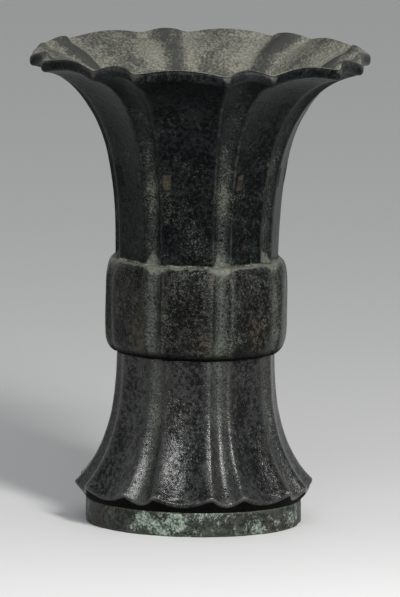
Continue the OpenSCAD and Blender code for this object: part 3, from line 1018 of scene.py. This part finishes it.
def ring_material():
    """Greyer metal with a spill of pale malachite."""
    c = colours()
    skin = Patina(c.ring, cover=0.55, flute=0, seam=0.3, brown=0.25, green=0.3, wear=0.2, rub=0.7, smooth=0.5,
                  dull=0.78, grain=0.35, offset=8.1)
    material, net, shader, tint, rough, metal = bronze("ring_bronze", skin)
    spill = net.group(patch_group(), Scale=150, Share=0.5, Offset=2.3, Stain=net.attribute("green"))
    speck = net.noise(net.place(), SPECK_SCALE, 4, 0.66)
    pale = net.mix(net.step(speck, 0.36, 0.62), c.verdigris, c.malachite)
    tint = net.mix(net.times(spill["Mask"], 0.85), tint, pale)
    join_skin(net, shader, tint, rough, metal)
    return material


def plate_material():
    """Dull bronze of the floor plate."""
    return cast_material("plate_bronze", Patina(
        colours().band_dark, cover=0.7, flute=0, seam=0, brown=0.5, green=0.3, wear=0, smooth=0.55, dull=0.8,
        grain=0.15, offset=11.2,
    ))


def chaplet_material():
    """Tan spacers, some of them nearly lost under the patina."""
    c = colours()
    material, net, shader = new_material("chaplet_bronze", 0.1)
    mottle = add_grain(net, shader, 0.6, 0.3 * MM)[2]
    where = net.place()
    speck = net.noise(where, SPECK_SCALE, 4, 0.66)
    torn = net.centred(net.noise(where, 280, 5, 0.68))
    shown = net.step(net.total(net.attribute("shown"), (torn, 2.6)), 0.3, 1.2)
    tan = net.mix(net.step(speck, 0.4, 0.65), c.tan, c.brown)
    dark = net.mix(net.step(speck, 0.6, 0.75), c.neck_dark, c.flute)
    lost = net.times(mottle, net.minus(0.7, net.times(shown, 0.5)))
    tint = net.mix(lost, net.mix(shown, dark, tan), c.near_black_and_shade)
    join_skin(net, shader, tint, net.step(speck, 0.3, 0.7, 0.45, 0.65), lost)
    return material


def crust_material(name, tint, rough):
    """Dry pale crust of solder, dust and corrosion."""
    material, net, shader = new_material(name, 0.1)
    add_grain(net, shader, 0.9, 0.3 * MM)
    where = net.place()
    speck = net.noise(where, SPECK_SCALE, 4, 0.66)
    cloud = net.centred(net.noise(where, 110, 5, 0.64))
    pale = net.step(net.total(speck, (cloud, 1.2)), 0.4, 0.68)
    net.put(shader.inputs["Base Color"], net.mix(pale, shaded(tint, 0.18), tint))
    net.put(shader.inputs["Roughness"], net.step(speck, 0.2, 0.8, rough - 0.1, rough + 0.1))
    return material


def dress(obj, material):
    """Gives an object its one material."""
    obj.data.materials.clear()
    obj.data.materials.append(material)


def place_piece(obj, material, slot, *nodes):
    """Finishes a piece that rides on the vessel, in the place of the nodes that it stands for."""
    dress(obj, material)
    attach(obj, BODY)
    if nodes:
        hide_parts(*nodes)


# Operators

BAND_SEED, FOOT_SEED, RING_SEED, CRUST_SEED = 7, 13, 19, 31
# Stains, as stain_mask takes them: angle, height, half width and half height, with lengths in millimetres
BAND_BROWNS = ((-121, 82, 5, 8, 1), (-78, 80, 6, 5, 0.5), (-40, 90, 8, 9, 0.6))
RING_GREENS = (
    (-109, 7, 5, 3, 1), (-103, 3.5, 5, 3, 1), (-98, 1.5, 4, 2, 0.9), (-92, 6, 8, 3.5, 0.9),
    (-70, 8.5, 16, 2.5, 0.35), (-16, 5, 9, 4, 0.35), (60, 5, 20, 4, 0.7), (150, 6, 14, 3, 0.6),
)
RING_BROWNS = ((-141, 5.5, 9, 4, 0.9), (-32, 3, 9, 3, 1), (110, 4, 14, 4, 0.7))
# Outline of the crust in the joint: how far out from the neck and up from the band, in millimetres
CRUST_OUTLINE = ((-0.3, 0), (0.8, 0), (0.65, 0.12), (0.35, 0.3), (0.1, 0.7), (-0.3, 0.9))


class VESSEL_OT_neck(bpy.types.Operator):
    """Casts the trumpet neck with its foliate rim, spigot and dusty mouth"""

    bl_idname = "vessel.neck"
    bl_label = "Neck"

    def execute(self, context):
        p = Profile()
        stations, first_inside = neck_stations(p)
        s = p.s
        nicks = edge_nicks(34, s.mouth_r - 0.8 * MM, p.lip_top - 0.8 * MM, spread=1.8 * MM, seed=21)
        obj = casting("neck_casting", stations, nicks, NECK_SEED, [(p.neck_z, 1.1 * MM)], first_inside)
        place_piece(obj, neck_material(), "neck_bronze", "neck")
        return {"FINISHED"}


class VESSEL_OT_chaplets(bpy.types.Operator):
    """Lets the brown spacers into the wall of the neck"""

    bl_idname = "vessel.chaplets"
    bl_label = "Chaplets"

    def execute(self, context):
        p = Profile()
        s = p.s
        wide, tall = 11, 17
        proud, sunk = 0.035 * MM, 0.9 * MM
        z = np.linspace(chaplet_low.z, chaplet_high.z, tall)
        st = columns([p.neck_station(v) for v in z])
        middle_st = columns([p.neck_station((chaplet_low.z + chaplet_high.z) / 2)])
        across_edge = 1 - np.abs(np.linspace(-1, 1, wide))[None]
        upright_edge = 1 - np.abs(np.linspace(-1, 1, tall))[:, None]
        border = np.minimum(np.minimum(upright_edge, across_edge) * 3, 1)
        vertices, faces, shown = [], [], []
        for k in range(s.lobes):
            for side in (-1, 1):
                middle = narrow_middle(k, middle_st).item() + side * s.chaplet_angle
                a = middle + np.linspace(-0.5, 0.5, wide) * s.chaplet_w / s.waist_r
                lobe = k if side < 0 else k + 1
                before, after = broad_edges(st, lobe)
                u = 2 * (a[None] - before) / (after - before) - 1
                skin = lobed_section(st, lobe, True, u)[0]
                out = np.stack([np.cos(a), np.sin(a), np.zeros(wide)], axis=-1)[None]
                skin = skin - out * unevenness(skin, NECK_SEED)[..., None]
                faces += block_faces(len(vertices), wide, tall)
                vertices += (skin + out * proud).reshape(-1, 3).tolist()
                vertices += (skin - out * sunk).reshape(-1, 3).tolist()
                strength = CHAPLETS_SHOWN[(2 * k + (side > 0)) % len(CHAPLETS_SHOWN)]
                shown += (border * strength).ravel().tolist() + [0.0] * border.size
        obj = make_object("neck_spacers", np.array(vertices), np.array(faces), {"shown": np.array(shown)})
        place_piece(obj, chaplet_material(), "chaplet_bronze", "neck_chaplets")
        return {"FINISHED"}


class VESSEL_OT_band(bpy.types.Operator):
    """Casts the lobed middle band"""

    bl_idname = "vessel.band"
    bl_label = "Middle band"

    def execute(self, context):
        p = Profile()
        nicks = edge_nicks(16, p.s.band_r, p.band_z + 3 * MM, spread=2 * MM, seed=5)
        nicks += edge_nicks(12, p.s.band_r, p.neck_z - 3 * MM, spread=2 * MM, seed=6)
        seams = [(p.neck_z, 0.8 * MM)]
        obj = casting("band_casting", band_stations(p), nicks, BAND_SEED, seams, browns=BAND_BROWNS)
        place_piece(obj, band_material(), "band_bronze", "middle_band")
        return {"FINISHED"}


class VESSEL_OT_crust(bpy.types.Operator):
    """Lays the pale crust in the joint between neck and band"""

    bl_idname = "vessel.crust"
    bl_label = "Seam crust"

    def execute(self, context):
        p = Profile()
        base = p.neck_station(p.neck_z + 0.1 * MM)
        found = []
        for out, up in CRUST_OUTLINE:
            found.append(base._replace(radius=base.radius + out * MM, height=p.neck_z + up * MM))
        lobe, broad, u = (v[None, :] for v in samples())
        points = lobed_section(columns(found), lobe, broad, u)[0]
        lump = 0.5 + 0.5 * soft_noise(points, 2.2 * MM, CRUST_SEED)
        flat = points[..., 2] - p.neck_z
        points[..., 2] = p.neck_z + flat * (0.35 + 0.9 * lump)
        radius = np.hypot(points[..., 0], points[..., 1])
        inner = np.hypot(points[0, :, 0], points[0, :, 1])[None]
        scale = (inner + (radius - inner) * (0.55 + 0.6 * lump)) / radius
        points[..., :2] *= scale[..., None]
        obj = closed_loft("seam_crust", points, {})
        place_piece(obj, crust_material("seam_crust", colours().crust, 0.8), "solder")
        return {"FINISHED"}


class VESSEL_OT_foot(bpy.types.Operator):
    """Casts the spreading foot with its scalloped skirt"""

    bl_idname = "vessel.foot"
    bl_label = "Foot"

    def execute(self, context):
        p = Profile()
        nicks = edge_nicks(40, p.s.skirt_r - MM, p.skirt_z - MM, spread=1.6 * MM, seed=9)
        obj = casting("foot_casting", foot_stations(p), nicks, FOOT_SEED, [(p.foot_z, 1.2 * MM)])
        place_piece(obj, foot_material(), "foot_bronze", "foot")
        return {"FINISHED"}


class VESSEL_OT_ring(bpy.types.Operator):
    """Turns the plain foot ring with its knocked standing edge"""

    bl_idname = "vessel.ring"
    bl_label = "Foot ring"

    def execute(self, context):
        p = Profile()
        nicks = edge_nicks(46, p.s.ring_r, 0.7 * MM, spread=0.6 * MM, seed=17)
        nicks += edge_nicks(18, p.s.ring_r, p.foot_z - 0.6 * MM, spread=0.5 * MM, seed=18)
        seams = [(p.foot_z, 1.0 * MM)]
        obj = casting("ring_casting", ring_stations(p), nicks, RING_SEED, seams,
                      greens=RING_GREENS, browns=RING_BROWNS)
        place_piece(obj, ring_material(), "ring_bronze", "foot_ring")
        return {"FINISHED"}


class VESSEL_OT_floor_plate(bpy.types.Operator):
    """Finishes the floor plate and the solder that the frame already holds"""

    bl_idname = "vessel.floor_plate"
    bl_label = "Floor plate and solder"

    def execute(self, context):
        dress(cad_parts["base_plate"], plate_material())
        solder = crust_material("solder", colours().solder, 0.55)
        for name in ("upper_solder", "lower_solder", "ring_solder", "base_solder"):
            dress(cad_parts[name], solder)
        return {"FINISHED"}


# Stage

def look_at(obj, target, roll=0.0):
    """Turns a lamp or camera towards a point."""
    direction = (target - obj.location).normalized()
    turn = direction.to_track_quat("-Z", "Y").to_matrix().to_4x4()
    obj.matrix_world = Matrix.Translation(obj.location) @ turn @ Matrix.Rotation(roll, 4, "Z")


def around(azimuth, elevation, distance, target):
    """Point at that distance from the target; azimuth 0 is in front, on the side of negative Y."""
    a, e = math.radians(azimuth), math.radians(elevation)
    return target + distance * Vector((math.sin(a) * math.cos(e), -math.cos(a) * math.cos(e), math.sin(e)))


def add_lamp(name, azimuth, elevation, distance, width, height, power, tint):
    """Soft box that faces the vessel."""
    data = bpy.data.lights.new(name, "AREA")
    data.shape = "RECTANGLE"
    data.size, data.size_y = width, height
    data.energy = power
    data.color = tint
    obj = bpy.data.objects.new(name, data)
    bpy.context.scene.collection.objects.link(obj)
    middle = Vector((0, 0, 0.1))
    obj.location = around(azimuth, elevation, distance, middle)
    look_at(obj, middle)


def add_camera():
    """Long lens at the photograph's angle, with the slight lean that it has there."""
    frame_h = 597
    photo_scale = 0.42185 * MM
    margin = 1.005
    shift_px = 3.5
    lean = math.radians(0.9)
    azimuth, elevation, distance = 8.0, 8.5, 7.2
    target = Vector((0, 0, 94.3 * MM))
    data = bpy.data.cameras.new("camera")
    data.sensor_width = 36
    data.lens = margin * data.sensor_width * distance / (frame_h * photo_scale)
    data.clip_start, data.clip_end = 0.1, 60
    obj = bpy.data.objects.new("camera", data)
    bpy.context.scene.collection.objects.link(obj)
    side = Vector((math.cos(math.radians(azimuth)), math.sin(math.radians(azimuth)), 0))
    target = target + side * shift_px * photo_scale
    obj.location = around(azimuth, elevation, distance, target)
    look_at(obj, target, lean)
    bpy.context.scene.camera = obj


def add_world():
    """Soft even room light, with a pale backdrop for the camera and for reflections."""
    world = bpy.data.worlds.new("studio")
    world.use_nodes = True
    net = Net(world.node_tree)
    back = world.node_tree.nodes["Background"]
    path = net.add("ShaderNodeLightPath")
    seen = net.most(*(path.outputs[f"Is {kind} Ray"] for kind in ("Camera", "Transmission", "Glossy")))
    room_light, backdrop = 0.36, 0.6
    net.put(back.inputs["Color"], (0.97, 0.985, 1))
    net.put(back.inputs["Strength"], net.blend(seen, room_light, backdrop))
    bpy.context.scene.world = world


def add_floor():
    """Wide pale floor."""
    half = 9
    corners = [(-half, -half, 0), (half, -half, 0), (half, half, 0), (-half, half, 0)]
    mesh = bpy.data.meshes.new("studio_floor")
    mesh.from_pydata(corners, [], [(0, 1, 2, 3)])
    obj = bpy.data.objects.new("studio_floor", mesh)
    bpy.context.scene.collection.objects.link(obj)
    material, net, shader = new_material("pale_floor", 0.2)
    shade = net.step(net.noise(net.place(), 3, 3, 0.5), 0.3, 0.7, 0.0, 0.03)
    net.put(shader.inputs["Base Color"], net.mix(shade, colours().floor, colours().floor_shade))
    shader.inputs["Roughness"].default_value = 0.75
    obj.data.materials.append(material)


class VESSEL_OT_stage(bpy.types.Operator):
    """Sets the pale floor, the soft studio light and the camera"""

    bl_idname = "vessel.stage"
    bl_label = "Stage"

    def execute(self, context):
        context.scene.view_settings.view_transform = "Standard"
        add_world()
        add_floor()
        add_lamp("key_softbox", azimuth=32, elevation=30, distance=1.05, width=0.15, height=0.55, power=12,
                 tint=(1, 0.99, 0.98))
        add_lamp("front_softbox", azimuth=2, elevation=42, distance=1.2, width=0.5, height=0.8, power=2.6,
                 tint=(0.9, 0.95, 1))
        add_camera()
        return {"FINISHED"}


class VESSEL_PT_panel(bpy.types.Panel):
    """Lists the vessel's pieces, sizes and colours"""

    bl_idname = "VESSEL_PT_panel"
    bl_label = "Bronze gu vessel"
    bl_space_type = "VIEW_3D"
    bl_region_type = "UI"
    bl_category = "Vessel"

    def draw(self, context):
        for operator in OPERATORS:
            self.layout.operator(operator.bl_idname)
        for group in (context.scene.vessel_sizes, context.scene.vessel_colours):
            box = self.layout.box()
            for key in group.__annotations__:
                box.prop(group, key)


OPERATORS = (
    VESSEL_OT_neck,
    VESSEL_OT_chaplets,
    VESSEL_OT_band,
    VESSEL_OT_crust,
    VESSEL_OT_foot,
    VESSEL_OT_ring,
    VESSEL_OT_floor_plate,
    VESSEL_OT_stage,
)
CLASSES = (VesselSizes, VesselColours, *OPERATORS, VESSEL_PT_panel)


def register():
    """Registers the classes and gives the scene its sizes and colours."""
    for cls in CLASSES:
        bpy.utils.register_class(cls)
    bpy.types.Scene.vessel_sizes = bpy.props.PointerProperty(type=VesselSizes)
    bpy.types.Scene.vessel_colours = bpy.props.PointerProperty(type=VesselColours)


def unregister():
    """Takes the classes, sizes and colours away again."""
    del bpy.types.Scene.vessel_colours
    del bpy.types.Scene.vessel_sizes
    for cls in reversed(CLASSES):
        bpy.utils.unregister_class(cls)


def main():
    """Builds the stage and the pieces."""
    register()
    bpy.ops.vessel.stage()
    bpy.ops.vessel.neck()
    bpy.ops.vessel.chaplets()
    bpy.ops.vessel.band()
    bpy.ops.vessel.crust()
    bpy.ops.vessel.foot()
    bpy.ops.vessel.ring()
    bpy.ops.vessel.floor_plate()


if __name__ == "__main__":
    main()
